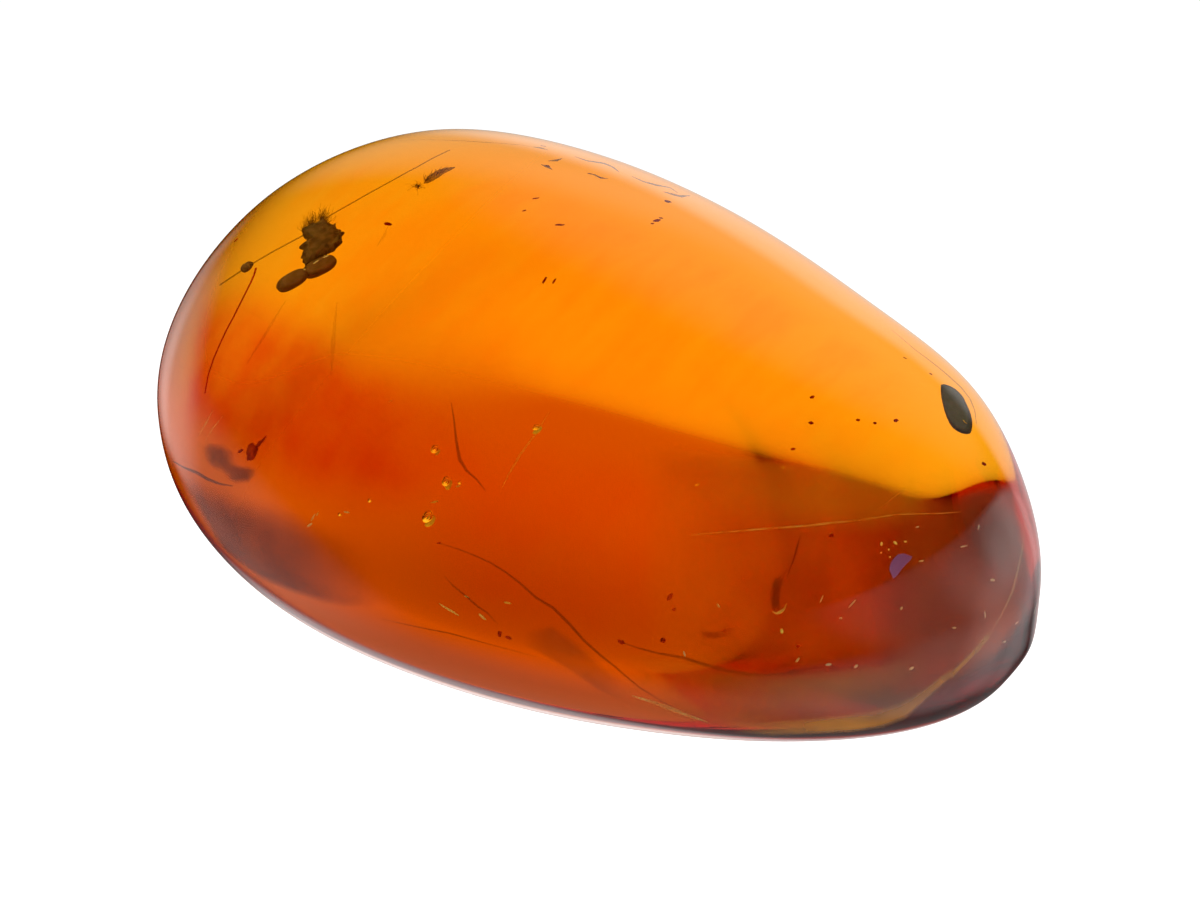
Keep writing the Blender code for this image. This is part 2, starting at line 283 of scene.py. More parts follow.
# Each lobe: its middle and its half sizes in mm, and its turn in degrees
LOBES = (
    ("insect_lobe_left", (-13.69, -2.26, 9.1), (0.66, 0.40, 0.34), 68.0),
    ("insect_lobe_right", (-13.17, -1.15, 9.1), (0.70, 0.43, 0.34), 66.0),
)
LOBE_SQUARENESS = 2.7
LOBE_SEGMENTS = 64
LOBE_RINGS = 32
FRINGE_COUNT = 260
FRINGE_ROOTS = ((303, 231), (312, 224), (321, 219), (327, 224))
FRINGE_TIPS = ((303, 223), (312, 213), (327, 204), (336, 213))
FRINGE_THICKNESS = 0.018 * MM
FRINGE_SPREAD = 3.6
FRINGE_LEVELS = (8.9, 9.35)
FRINGE_SEED = 7
FRINGE_ROOT_DRIFT = 0.3
FRINGE_LENGTHS = (0.1, 0.9)
FRINGE_BEND = 2.2
FRINGE_TAPER = 0.6
CHARRED_DARK = (0.16, 0.165, 0.75)
CHARRED_LIGHT = (0.33, 0.33, 1.0)
LOBE_DARK = (0.27, 0.235, 0.8)
LOBE_LIGHT = (0.34, 0.3, 1.0)
BRISTLE_BROWN = (0.16, 0.06, 0.06)
# Painted shade: how far a lump's colour is darkened towards its rim, where it is darkened from, and the dark
# red it is darkened to, where the turned edge falls into shade
RIM_PAINTED_SHADE = 0.45
RIM_SHADE_FROM = 0.80
RIM_SHADE_TINT = (0.25, 0.08, 0.04)
# Where in the noise a mottled finish runs from its dark colour to its light one
MOTTLE_BAND = (0.35, 0.65)
DULL_SHINE = 0.1
# The sockets that a Mix node has for colours
MIX_FACTOR, MIX_A, MIX_B, MIX_RESULT = 0, 6, 7, 2
PARALLEL = 1e-12
LUMP_DEPTH = 0.02 * MM

skin_points = [vert.co.copy() for vert in amber.data.vertices]
skin_normals = [vert.normal.copy() for vert in amber.data.vertices]
skin_faces = [tuple(face.vertices) for face in amber.data.polygons]
skin = BVHTree.FromPolygons(skin_points, skin_faces)


def sight_line(pixel):
    """Where the line of sight of this pixel of the photo meets the amber, and its bent way on inside."""
    right, down = pixel[0] - AXIS_PIXEL[0], pixel[1] - AXIS_PIXEL[1]
    aim = (camera_right * right - camera_up * down - towards_camera * FOCAL_PIXELS).normalized()
    entry, _, face, _ = skin.ray_cast(camera_place, aim)
    corners = skin_faces[face]
    weights = poly_3d_calc([skin_points[corner] for corner in corners], entry)
    normal = Vector()
    for corner, weight in zip(corners, weights):
        normal += skin_normals[corner] * weight
    normal.normalize()
    facing = -aim.dot(normal)
    bent = math.sqrt(1 - (1 - facing * facing) / AMBER_IOR**2)
    return entry, (aim / AMBER_IOR + normal * (facing / AMBER_IOR - bent)).normalized()


def seen_at(pixel, level):
    """The place at this height over the base that shows in this pixel of the photo."""
    entry, way = sight_line(pixel)
    return entry + way * ((level - entry.z) / way.z)


def seen_under(pixel, depth):
    """The place this deep under the skin that shows in this pixel of the photo."""
    entry, way = sight_line(pixel)
    return entry + way * depth


def finish_piece(piece, finish, node=None):
    """Lays the finish on a piece of the object, and tells the frame what it belongs to."""
    piece.data.materials.clear()
    piece.data.materials.append(finish)
    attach(piece, "root")
    if node:
        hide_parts(node)


def attribute_node(nodes, name):
    """What the piece's attribute of this name says."""
    made = nodes.new("ShaderNodeAttribute")
    made.attribute_name = name
    return made.outputs["Fac"]


def mottle_node(nodes, links, place, scale, detail):
    """Soft noise of this scale, read at the place given."""
    made = nodes.new("ShaderNodeTexNoise")
    made.inputs["Scale"].default_value = scale
    made.inputs["Detail"].default_value = detail
    links.new(place, made.inputs["Vector"])
    return made.outputs["Fac"]


def new_finish(name, dark, light, scale, roughness, bump=0.3, rim=0.0, alpha=1.0, detail=6.0):
    """A dull natural skin, mottled between two colours, with small lumps, and with painted shade that darkens
    its colour towards the piece's rim.
    """
    made, nodes, links, shader = blank_material(name)
    shader.inputs["Roughness"].default_value = roughness
    shader.inputs["IOR"].default_value = AMBER_IOR
    shader.inputs["Specular IOR Level"].default_value = DULL_SHINE
    shader.inputs["Alpha"].default_value = alpha
    place = nodes.new("ShaderNodeTexCoord")
    mottle = mottle_node(nodes, links, place.outputs["Object"], scale, detail)
    ramp = nodes.new("ShaderNodeValToRGB")
    for stop, position, colour in zip(ramp.color_ramp.elements, MOTTLE_BAND, (dark, light)):
        stop.position = position
        stop.color = (*colour, 1.0)
    links.new(mottle, ramp.inputs["Fac"])
    colour = ramp.outputs["Color"]
    # Painted shade: the colour is darkened towards the rim
    if rim:
        painted_rim_shade = ranged(nodes, links, attribute_node(nodes, "rim"), RIM_SHADE_FROM, 1.0, 0.0, rim)
        rim_shade_mix = nodes.new("ShaderNodeMix")
        rim_shade_mix.data_type = "RGBA"
        rim_shade_mix.blend_type = "MULTIPLY"
        links.new(painted_rim_shade, rim_shade_mix.inputs[MIX_FACTOR])
        links.new(colour, rim_shade_mix.inputs[MIX_A])
        rim_shade_mix.inputs[MIX_B].default_value = (*RIM_SHADE_TINT, 1.0)
        colour = rim_shade_mix.outputs[MIX_RESULT]
    links.new(colour, shader.inputs["Base Color"])
    lumps = nodes.new("ShaderNodeBump")
    lumps.inputs["Strength"].default_value = bump
    lumps.inputs["Distance"].default_value = LUMP_DEPTH
    links.new(mottle, lumps.inputs["Height"])
    links.new(lumps.outputs["Normal"], shader.inputs["Normal"])
    return made


def outline_reach(outline, heading):
    """How far the outline lies from its middle in this direction."""
    aim = Vector((math.cos(heading), math.sin(heading)))
    reach = 0.0
    for start, end in zip(outline, outline[1:] + outline[:1]):
        side = end - start
        spread = aim.cross(side)
        if abs(spread) < PARALLEL:
            continue
        along_side = start.cross(aim) / spread
        if 0.0 <= along_side <= 1.0:
            reach = max(reach, start.cross(side) / spread)
    return reach


def round_ball(name, segments, rings, radius=1.0):
    """A ball, poles on Z, that is then given its shape."""
    deselect_all()
    bpy.ops.mesh.primitive_uv_sphere_add(segments=segments, ring_count=rings, radius=radius)
    made = bpy.context.object
    made.name = name
    return made


def flattened_lump(
    name, middle_pixel, outline_pixels, level, half_thickness, fullness, lumps=0.0, raggedness=0.0
):
    """A closed lump seen with this outline. Its attribute rim runs from 0 in its middle to 1 at its rim."""
    made = round_ball(name, BODY_SEGMENTS, BODY_RINGS)
    middle = seen_at(middle_pixel, level)
    outline = [(seen_at(pixel, level) - middle).to_2d() for pixel in outline_pixels]
    rim = made.data.attributes.new("rim", "FLOAT", "POINT")
    for vert in made.data.vertices:
        share = math.hypot(vert.co.x, vert.co.y) ** fullness
        heading = math.atan2(vert.co.y, vert.co.x)
        aim = Vector((math.cos(heading), math.sin(heading), 0.0))
        reach = outline_reach(outline, heading) * (1 + raggedness * noise.noise(aim * RAGGED_SCALE))
        swollen = half_thickness * (1 + lumps * noise.noise(vert.co * LUMP_SCALE))
        rim.data[vert.index].value = share
        vert.co = middle + Vector((aim.x * reach * share, aim.y * reach * share, vert.co.z * swollen))
    bpy.ops.object.shade_smooth()
    return made


def lobe(name, at, half, turn):
    """A smooth capsule with a broad flat top."""
    made = round_ball(name, LOBE_SEGMENTS, LOBE_RINGS)
    rim = made.data.attributes.new("rim", "FLOAT", "POINT")
    about = Matrix.Rotation(math.radians(turn), 3, "Z")
    for vert in made.data.vertices:
        size = sum(abs(part) ** LOBE_SQUARENESS for part in vert.co) ** (-1 / LOBE_SQUARENESS)
        full = vert.co * size
        rim.data[vert.index].value = min(math.hypot(full.x, full.y), 1.0)
        vert.co = (Vector(at) + about @ (full * Vector(half))) * MM
    bpy.ops.object.shade_smooth()
    return made


def strands(name, paths, thickness, taper=0.0, thickest=0.0):
    """Fine threads along paths, as one mesh. Each thins out by taper away from its thickest place."""
    curve = bpy.data.curves.new(name, "CURVE")
    curve.dimensions = "3D"
    curve.bevel_depth = thickness / 2
    curve.bevel_resolution = 1
    curve.use_fill_caps = True
    for path in paths:
        spline = curve.splines.new("POLY")
        spline.points.add(len(path) - 1)
        for step, (slot, point) in enumerate(zip(spline.points, path)):
            slot.co = (*point, 1.0)
            off = abs(step / (len(path) - 1) - thickest)
            slot.radius = 1 - taper * off / max(thickest, 1 - thickest)
    made = bpy.data.objects.new(name, curve)
    bpy.context.scene.collection.objects.link(made)
    deselect_all()
    made.select_set(True)
    bpy.context.view_layer.objects.active = made
    bpy.ops.object.convert(target="MESH")
    made = bpy.context.object
    bpy.ops.object.shade_smooth()
    return made


def row_point(row, share):
    """The point at this share of the way along a row of points."""
    at = share * (len(row) - 1)
    first = min(int(at), len(row) - 2)
    return Vector(row[first]).lerp(Vector(row[first + 1]), at - first)


charred = new_finish(
    "charred", CHARRED_DARK, CHARRED_LIGHT, scale=3200.0, roughness=0.8, bump=0.8, rim=RIM_PAINTED_SHADE
)
lobe_skin = new_finish("lobe_skin", LOBE_DARK, LOBE_LIGHT, scale=2500.0, roughness=0.6, rim=RIM_PAINTED_SHADE)
bristle = new_finish("bristle", BRISTLE_BROWN, BRISTLE_BROWN, scale=900.0, roughness=0.7, alpha=0.4)

body = flattened_lump(
    "insect_body", BODY_MIDDLE_PIXEL, BODY_OUTLINE_PIXELS, BODY_LEVEL, BODY_HALF_THICKNESS, RIM_FULLNESS,
    BODY_LUMPS, BODY_RAGGEDNESS,
)
finish_piece(body, charred, node="insect")
for name, at, half, turn in LOBES:
    finish_piece(lobe(name, at, half, turn), lobe_skin, node="insect")

chance = random.Random(FRINGE_SEED)
bristles = []
for _ in range(FRINGE_COUNT):
    share = chance.random()
    drift = Vector((chance.gauss(0, FRINGE_SPREAD), chance.gauss(0, FRINGE_SPREAD)))
    start, end = row_point(FRINGE_ROOTS, share), row_point(FRINGE_TIPS, share)
    root = start + drift * FRINGE_ROOT_DRIFT
    tip = start.lerp(end, chance.uniform(*FRINGE_LENGTHS)) + drift
    bend = root.lerp(tip, 0.5) + Vector((chance.gauss(0, FRINGE_BEND), chance.gauss(0, FRINGE_BEND)))
    level = chance.uniform(*FRINGE_LEVELS) * MM
    bristles.append([seen_at(pixel, level) for pixel in (root, bend, tip)])
fringe = strands("insect_fringe", bristles, FRINGE_THICKNESS, FRINGE_TAPER)
finish_piece(fringe, bristle, node="insect")

# The wing case: one hard, slate-coloured wing case of a small beetle, a pointed oval plate that lies flat
# near the narrow end. Its rounded rim is painted dark red as shade, and a short pale scratch marks its face.
CASE_LEVEL = 9.0 * MM
CASE_MIDDLE_PIXEL = (957, 409)
CASE_OUTLINE_PIXELS = (
    (941, 385), (945, 384.5), (951, 386.5), (956, 389.5), (960, 393), (963.5, 397.5), (966, 403),
    (968.6, 408.5), (970.5, 414), (971.8, 420), (972, 425), (971.4, 429.6), (970, 433), (966, 433.8),
    (962, 433), (957.6, 431.2), (953, 428), (949.6, 423.6), (947, 418), (944.6, 411.6), (943, 405),
    (941.7, 399), (941, 393),
)
CASE_HALF_THICKNESS = 0.22 * MM
CASE_FULLNESS = 0.22
SLATE_DARK = (0.115, 0.175, 0.76)
SLATE_LIGHT = (0.15, 0.225, 0.95)
SCRATCH_PIXELS = ((963.2, 420.0), (965.0, 422.4), (966.8, 423.4))
SCRATCH_THICKNESS = 0.05 * MM
PALE_CREAM = (0.85, 0.75, 0.55)


def thread(name, pixels, level, thickness, taper=0.0):
    """One fine thread that shows through these pixels, at one level."""
    return strands(name, [[seen_at(pixel, level) for pixel in pixels]], thickness, taper)


# The slate's rim is darkened to dark red, as painted shade
slate = new_finish("slate", SLATE_DARK, SLATE_LIGHT, scale=2200.0, roughness=0.35, bump=0.15, rim=0.9)
case = flattened_lump(
    "wing_case_plate", CASE_MIDDLE_PIXEL, CASE_OUTLINE_PIXELS, CASE_LEVEL, CASE_HALF_THICKNESS, CASE_FULLNESS
)
finish_piece(case, slate, node="wing_case")
pale = new_finish("pale_cream", PALE_CREAM, PALE_CREAM, scale=900.0, roughness=0.6)
scratch = thread("wing_case_scratch", SCRATCH_PIXELS, CASE_LEVEL + CASE_HALF_THICKNESS, SCRATCH_THICKNESS)
finish_piece(scratch, pale, node="wing_case")

# The fibre: one long, nearly straight plant or spider fibre, brown and half clear, that runs behind the
# insect. A small dark droplet hangs on it near its lower end.
FIBRE_LEVEL = 8.4 * MM
FIBRE_PIXELS = (
    (220, 285), (232, 277), (247, 267), (262, 258), (275, 250.5), (289, 243), (302, 236), (316, 226),
    (330, 215.5), (352, 203), (374, 190.5), (396, 178.5), (418, 166.5), (434, 157.5), (450, 150),
)
FIBRE_THICKNESS = 0.085 * MM
FIBRE_TAPER = 0.35
FIBRE_BROWN_DARK = (0.13, 0.06, 0.03)
FIBRE_BROWN_LIGHT = (0.26, 0.12, 0.05)
DROPLET_PIXEL = (247, 267)
DROPLET_RADIUS = 0.25 * MM
DROPLET_SEGMENTS = 32
DROPLET_RINGS = 16
DROPLET_DENTS = 0.25
DROPLET_DENT_SCALE = 1.6

fibre_skin = new_finish(
    "fibre_brown", FIBRE_BROWN_DARK, FIBRE_BROWN_LIGHT, scale=700.0, roughness=0.5, alpha=0.45
)
fibre = thread("fibre_thread", FIBRE_PIXELS, FIBRE_LEVEL, FIBRE_THICKNESS, FIBRE_TAPER)
finish_piece(fibre, fibre_skin, node="fibre")
droplet = round_ball("fibre_droplet", DROPLET_SEGMENTS, DROPLET_RINGS, DROPLET_RADIUS)
droplet_at = seen_at(DROPLET_PIXEL, FIBRE_LEVEL)
for vert in droplet.data.vertices:
    dent = noise.noise(vert.co / DROPLET_RADIUS * DROPLET_DENT_SCALE)
    vert.co = droplet_at + vert.co * (1 + DROPLET_DENTS * dent)
bpy.ops.object.shade_smooth()
droplet_skin = new_finish("droplet_brown", LOBE_DARK, LOBE_LIGHT, scale=5000.0, roughness=0.4, alpha=0.85)
finish_piece(droplet, droplet_skin, node="fibre")

# The hair: one dark red animal hair, curved and smooth, that stuck to the resin at the blunt end and was
# closed in. It hangs down there from beside the fibre.
HAIR_LEVEL = 8.75 * MM
HAIR_PIXELS = (
    (256, 268), (254, 275), (250.5, 283), (246.5, 291), (240.5, 303), (233.5, 317), (226, 331), (219.5, 345),
    (213.5, 359), (208.5, 374), (205, 393),
)
HAIR_THICKNESS = 0.085 * MM
HAIR_TAPER = 0.3
HAIR_RED = (0.85, 0.01, 0.004)
HAIR_RED_DARK = (0.55, 0.005, 0.002)

hair_skin = new_finish("hair_red", HAIR_RED_DARK, HAIR_RED, scale=500.0, roughness=0.4, alpha=0.8)
hair = thread("hair_thread", HAIR_PIXELS, HAIR_LEVEL, HAIR_THICKNESS, HAIR_TAPER)
finish_piece(hair, hair_skin, node="hair")

# The splinter: a sliver of bark that tapers to its upper right end, with frayed sides and a tuft of fluff at
# its lower left end.
SPLINTER_LEVEL = 8.75 * MM
SPLINTER_MIDDLE_PIXEL = (437, 175.5)
SPLINTER_OUTLINE_PIXELS = (
    (423.5, 183.2), (426.5, 183.6), (432, 181.2), (438.5, 177.3), (444, 173.4), (449.5, 170.2),
    (455.5, 167.3), (449, 167.4), (443.5, 168.2), (437, 170.8), (431, 174.2), (426, 178.8),
)
SPLINTER_HALF_THICKNESS = 0.12 * MM
BARK_DARK = (0.2, 0.11, 0.18)
BARK_LIGHT = (0.48, 0.3, 0.42)
FRAY_COUNT = 60
FRAY_ROOTS = ((424, 182), (431, 178), (438, 174), (446, 170))
FRAY_TIPS = ((426, 177), (433, 172.5), (441, 169), (449, 167))
FRAY_SPREAD = 0.9
FRAY_SEED = 11
FRAY_REACH = 1.6
FRAY_BEND = 0.4
FRAY_LEVELS = (-0.1, 0.15)
FRAY_TAPER = 0.5
TUFT_COUNT = 70
TUFT_PIXEL = (417.5, 186.5)
TUFT_SPREAD = 2.6
TUFT_FLATNESS = 0.7
TUFT_ROOT_SPREAD = (1.8, 1.1)
TUFT_BEND = (1.0, -1.0)
FRAY_THICKNESS = 0.028 * MM

# The sliver's rim is darkened with painted shade, as the insect's is
bark = new_finish(
    "bark", BARK_DARK, BARK_LIGHT, scale=3000.0, roughness=0.85, bump=0.8, rim=RIM_PAINTED_SHADE, alpha=0.5
)
frayed = new_finish("frayed_bark", BARK_DARK, BARK_LIGHT, scale=1500.0, roughness=0.8, alpha=0.25)
splinter = flattened_lump(
    "splinter_sliver", SPLINTER_MIDDLE_PIXEL, SPLINTER_OUTLINE_PIXELS, SPLINTER_LEVEL,
    SPLINTER_HALF_THICKNESS, RIM_FULLNESS, BODY_LUMPS, BODY_RAGGEDNESS,
)
finish_piece(splinter, bark, node="splinter")
chance = random.Random(FRAY_SEED)
threads = []
for _ in range(FRAY_COUNT):
    share = chance.random()
    drift = Vector((chance.gauss(0, FRAY_SPREAD), chance.gauss(0, FRAY_SPREAD)))
    root, tip = row_point(FRAY_ROOTS, share) + drift, row_point(FRAY_TIPS, share) + drift * FRAY_REACH
    level = SPLINTER_LEVEL + chance.uniform(*FRAY_LEVELS) * MM
    bend = root.lerp(tip, 0.5) + drift * FRAY_BEND
    threads.append([seen_at(pixel, level) for pixel in (root, bend, tip)])
for _ in range(TUFT_COUNT):
    root = Vector(TUFT_PIXEL) + Vector([chance.gauss(0, spread) for spread in TUFT_ROOT_SPREAD])
    tip = root + Vector((chance.gauss(0, TUFT_SPREAD), chance.gauss(0, TUFT_SPREAD * TUFT_FLATNESS)))
    level = SPLINTER_LEVEL + chance.uniform(*FRAY_LEVELS) * MM
    bend = root.lerp(tip, 0.5) + Vector(TUFT_BEND)
    threads.append([seen_at(pixel, level) for pixel in (root, bend, tip)])
fray = strands("splinter_fray", threads, FRAY_THICKNESS, FRAY_TAPER)
finish_piece(fray, frayed, node="splinter")

# Specks: dark crumbs of bark and dust that the resin caught as it ran, most of them a fraction of a
# millimetre. They lie a few millimetres under the skin, singly or strung out along the lines in which the
# resin flowed.
# Each crumb: its pixel, its depth, its half length and half width in mm, and its turn in degrees
DARK_CRUMBS = (
    ((251.8, 452), 2.5, (0.32, 0.24), 70), ((262, 441.5), 2.5, (0.26, 0.048), 50),
    ((258.5, 444), 2.5, (0.14, 0.072), 40), ((240.5, 451), 2.5, (0.12, 0.056), 20),
    ((388, 224), 4, (0.17, 0.088), -20), ((544.5, 280.3), 4, (0.17, 0.052), 65),
    ((554.2, 281), 4, (0.13, 0.044), 65), ((543.3, 146), 1, (0.13, 0.048), -15),
    ((547.7, 165.9), 2, (0.12, 0.064), -35), ((590, 173.7), 1.5, (0.1, 0.048), -15),
    ((601.4, 177.7), 1.5, (0.17, 0.048), -15), ((535.5, 198.3), 3, (0.14, 0.04), 15),
    ((524.3, 210.6), 3, (0.09, 0.04), 25), ((559.8, 224.9), 3, (0.2, 0.048), 0),
    ((668.1, 201.5), 1, (0.15, 0.11), 5), ((656.9, 220.5), 2, (0.2, 0.08), 30),
    ((661, 218), 2, (0.09, 0.048), -10), ((652.5, 223.5), 2, (0.09, 0.04), 20),
    ((236, 240), 1.2, (0.11, 0.056), 60), ((812, 397), 3.5, (0.1, 0.064), 30),
    ((811, 423), 3.5, (0.09, 0.064), 0), ((858, 420), 3.5, (0.08, 0.056), 0),
    ((875, 423), 3.5, (0.07, 0.056), 0), ((896, 420.5), 3.5, (0.1, 0.072), 20),
    ((793, 449), 3.5, (0.09, 0.048), 10), ((984, 464), 1.5, (0.09, 0.08), 0),
    ((669.8, 597.3), 4, (0.14, 0.08), 50), ((674, 609.4), 4, (0.07, 0.056), 0),
    ((621.1, 642), 3, (0.15, 0.064), -20), ((662.9, 640.6), 4, (0.11, 0.072), -10),
    ((499.6, 634), 2.5, (0.1, 0.072), 80), ((508.3, 637.6), 2.5, (0.13, 0.048), -20),
    ((725, 631.2), 3.8, (0.11, 0.04), 5), ((798, 646.3), 3, (0.08, 0.048), 0),
    ((831.2, 535.3), 3, (0.1, 0.056), 20), ((439, 543), 3, (0.08, 0.032), 0),
    ((905, 358), 1.5, (0.08, 0.032), -30), ((931, 374), 1.5, (0.07, 0.04), -20),
)
CRUMB_SUBDIVISIONS = 3
CRUMB_LUMP_SCALE = 1.8
SPECK_RAGGEDNESS = 0.55
SPECK_DARK = (0.36, 0.02, 0.006)
SPECK_LIGHT = (0.6, 0.05, 0.012)


def crumb(pixel, depth, half, turn, raggedness):
    """A rough grain under the skin, turned as the photo shows it."""
    deselect_all()
    bpy.ops.mesh.primitive_ico_sphere_add(subdivisions=CRUMB_SUBDIVISIONS, radius=1.0)
    made = bpy.context.object
    at = seen_under(pixel, depth * MM)
    turn = math.radians(turn)
    long_way = camera_right * math.cos(turn) + camera_up * math.sin(turn)
    wide_way = towards_camera.cross(long_way)
    for vert in made.data.vertices:
        torn = 1 + raggedness * noise.noise(vert.co * CRUMB_LUMP_SCALE + at / MM)
        long_part, wide_part, deep_part = vert.co * torn * MM
        across = (wide_way * wide_part + towards_camera * deep_part) * half[1]
        vert.co = at + long_way * long_part * half[0] + across
    bpy.ops.object.shade_smooth()
    return made


def joined(parts):
    """Parts made one after the other, as one piece that has the last one's name."""
    for part in parts:
        part.select_set(True)
    bpy.ops.object.join()
    return bpy.context.object


def crumbs(name, rows, raggedness):
    """One piece of many crumbs."""
    made = joined([crumb(*row, raggedness) for row in rows])
    made.name = name
    return made


speck_skin = new_finish("speck_brown", SPECK_DARK, SPECK_LIGHT, scale=4000.0, roughness=0.8)
finish_piece(crumbs("dark_crumbs", DARK_CRUMBS, SPECK_RAGGEDNESS), speck_skin)

# Pale flakes and ticks: slivers of clear mica-like crack and dust, with the light that they catch painted
# into their colour as a glint. Those near the skin look cream, those deeper look yellow.
PALE_FLAKES_AND_GLINTS = (
    ((1035.5, 608.4), 0.5, (0.27, 0.037), 51), ((978.6, 527.2), 0.7, (0.11, 0.034), 75),
    ((964, 546.3), 1.2, (0.16, 0.028), 14), ((985, 614.6), 1, (0.15, 0.025), 95),
    ((917.4, 527), 1.5, (0.08, 0.025), 20), ((921.2, 561), 2, (0.1, 0.031), 10),
    ((992.7, 580), 1.2, (0.1, 0.05), 0), ((901.4, 608.4), 2, (0.07, 0.037), 60),
    ((911.6, 668.4), 1.2, (0.1, 0.05), 30), ((954.3, 627.8), 1.5, (0.09, 0.031), 0),
    ((1004.5, 641.8), 0.7, (0.09, 0.043), 0), ((1016.7, 622.9), 0.8, (0.11, 0.025), 20),
    ((821.6, 599), 2, (0.15, 0.022), 65), ((852.3, 603.6), 2, (0.21, 0.025), 45),
    ((828.6, 664.6), 1, (0.12, 0.05), 5), ((856, 666.4), 1.3, (0.09, 0.05), 40),
    ((840.8, 618.2), 2, (0.06, 0.034), 0), ((797.6, 660), 2, (0.11, 0.037), 50),
    ((684.4, 653.8), 1.5, (0.12, 0.037), 105), ((718.4, 605.6), 2.5, (0.1, 0.028), -50),
    ((309.6, 525), 2, (0.12, 0.046), 30), ((313, 517.5), 2.5, (0.16, 0.031), 55),
    ((346.6, 512.2), 2.5, (0.13, 0.031), -10), ((236.5, 236), 1, (0.06, 0.019), 20),
    ((449.5, 609.8), 3, (0.47, 0.037), -25), ((482.3, 616.7), 3, (0.19, 0.043), -35),
    ((507.4, 602.8), 4, (0.15, 0.031), -10), ((466.7, 596.7), 3, (0.13, 0.025), -20),
    ((390.5, 401), 5, (0.1, 0.019), 20), ((458.2, 486), 5, (0.1, 0.043), 10),
    ((434.6, 501.8), 5, (0.16, 0.031), 10), ((317.5, 514), 3.5, (0.08, 0.025), 60),
)
# Painted glints: bright yellow specks that hold no lamp, standing for light caught by cracks, and the last
# three for the glints in the gap beside the insect's lobes
PAINTED_GLINT_FLAKES = (
    ((881.4, 543.8), 2.2, (0.08, 0.045), 80), ((895.3, 542.8), 2.2, (0.09, 0.05), -40),
    ((905.3, 541.6), 2.2, (0.06, 0.035), 0), ((881, 552.7), 2.2, (0.03, 0.025), 0),
    ((888.7, 549.5), 2.2, (0.04, 0.03), 60), ((890, 557), 2.2, (0.03, 0.025), 0),
    ((781.8, 631), 2.4, (0.09, 0.06), 100), ((537.4, 430.4), 4.5, (0.21, 0.11), 33),
    ((437.8, 452.4), 5, (0.13, 0.06), 50), ((448.6, 484.2), 5.5, (0.19, 0.14), 60),
    ((430.2, 521.2), 5.5, (0.24, 0.15), 40), ((316, 262), 1.6, (0.15, 0.04), 40),
    ((325.8, 256.6), 1.6, (0.14, 0.04), 20), ((304.6, 269.4), 1.6, (0.06, 0.035), 0),
)
FLAKE_RAGGEDNESS = 0.3
FLAKE_AND_GLINT_CREAM = (0.92, 0.8, 0.72)
GLINT_YELLOW = (1.0, 0.92, 0.5)

cream = new_finish("flake_and_glint_cream", FLAKE_AND_GLINT_CREAM, FLAKE_AND_GLINT_CREAM, scale=900.0, roughness=0.4, alpha=0.6)
finish_piece(crumbs("pale_flakes_and_glints", PALE_FLAKES_AND_GLINTS, FLAKE_RAGGEDNESS), cream)
# Painted glint: the yellow specks are as bright as caught light
yellow = new_finish("flake_painted_glint", GLINT_YELLOW, GLINT_YELLOW, scale=900.0, roughness=0.3)
finish_piece(crumbs("painted_glint_flakes", PAINTED_GLINT_FLAKES, FLAKE_RAGGEDNESS), yellow)

# Gas bubbles: the resin closed over drops of water and air. Each is a tiny closed hollow, dark where its side
# mirrors the deep amber.
BUBBLES = (
    ((434.8, 448.8), 4.6, (0.19, 0.16), 50), ((446, 481), 5.1, (0.2, 0.17), 60),
    ((427.6, 516.2), 5.1, (0.24, 0.2), 40), ((536.2, 427), 4.2, (0.16, 0.12), 33),
    ((459.8, 482.5), 5.1, (0.08, 0.07), 0), ((370, 500), 4, (0.1, 0.08), 20),
    ((340, 514), 4, (0.09, 0.07), 20), ((697, 484), 4, (0.1, 0.07), 10),
    ((783, 467), 4, (0.08, 0.07), 10)
)
AMBER_IN_AIR = 1 / AMBER_IOR

hollow, _, _, shader = clear_material("hollow", CLEAR, AMBER_IN_AIR)
shader.inputs["Roughness"].default_value = 0.0
finish_piece(crumbs("gas_bubbles", BUBBLES, 0.0), hollow)

# Flow lines: where one run of resin set before the next came, the skin between them shows as a fine dark
# thread, or as a bright one whose brightness is a painted glint. A few are strings of dust along the upper
# edge.
# Each line: its depth and its thickness in mm, then the pixels it runs through
DARK_LINES = (
    (5, 0.15, (
        (451.2, 403), (453.8, 418), (456.3, 441), (459.5, 459), (466.5, 470.6), (476.7, 479.5), (485.7, 491),
    )),
    (3, 0.11, (
        (439, 543), (458, 549), (473.6, 555.1), (491, 563), (504.8, 571.6), (518.7, 582), (536, 597.6),
        (553.3, 608), (569, 623.6), (575.9, 631.4), (584.5, 641), (600, 654.8), (617.5, 668.7), (640, 687.8),
        (669.3, 706), (695.3, 718.2), (711, 724),
    )),
    (3, 0.08, ((444.2, 576), (452.8, 585.5), (466.7, 596.7), (477, 606), (487.5, 613), (497.9, 624.5))),
    (3, 0.12, (
        (621.1, 642), (638, 648), (657, 653), (683, 657.6), (704, 664.5), (728, 670.6), (752.5, 674.9),
        (766.4, 675.3), (787, 673), (825, 666),
    )),
    (2.6, 0.1, ((801.2, 532.8), (794.8, 555.7), (787.2, 577.4))),
    (2, 0.06, ((380, 618.4), (406, 624.5), (449.4, 633.2), (484, 642.7), (536, 656.6))),
    (1, 0.13, (
        (891.8, 330), (915.5, 350), (939.2, 367.9), (960.5, 386.8), (970, 398.7), (974.7, 410.5),
        (976.4, 424),
    )),
    (0.8, 0.07, ((400, 140.5), (440, 140), (480, 142), (520, 145), (545, 148.5))),
)
SOFT_LINES = (
    (3, 0.16, ((285.4, 301), (266.3, 332.7), (247.2, 363.5))),
    (3, 0.2, ((336.9, 302.6), (333, 344.8), (331.2, 375))),
    (3, 0.14, ((388, 226), (384, 236), (377, 246))),
)
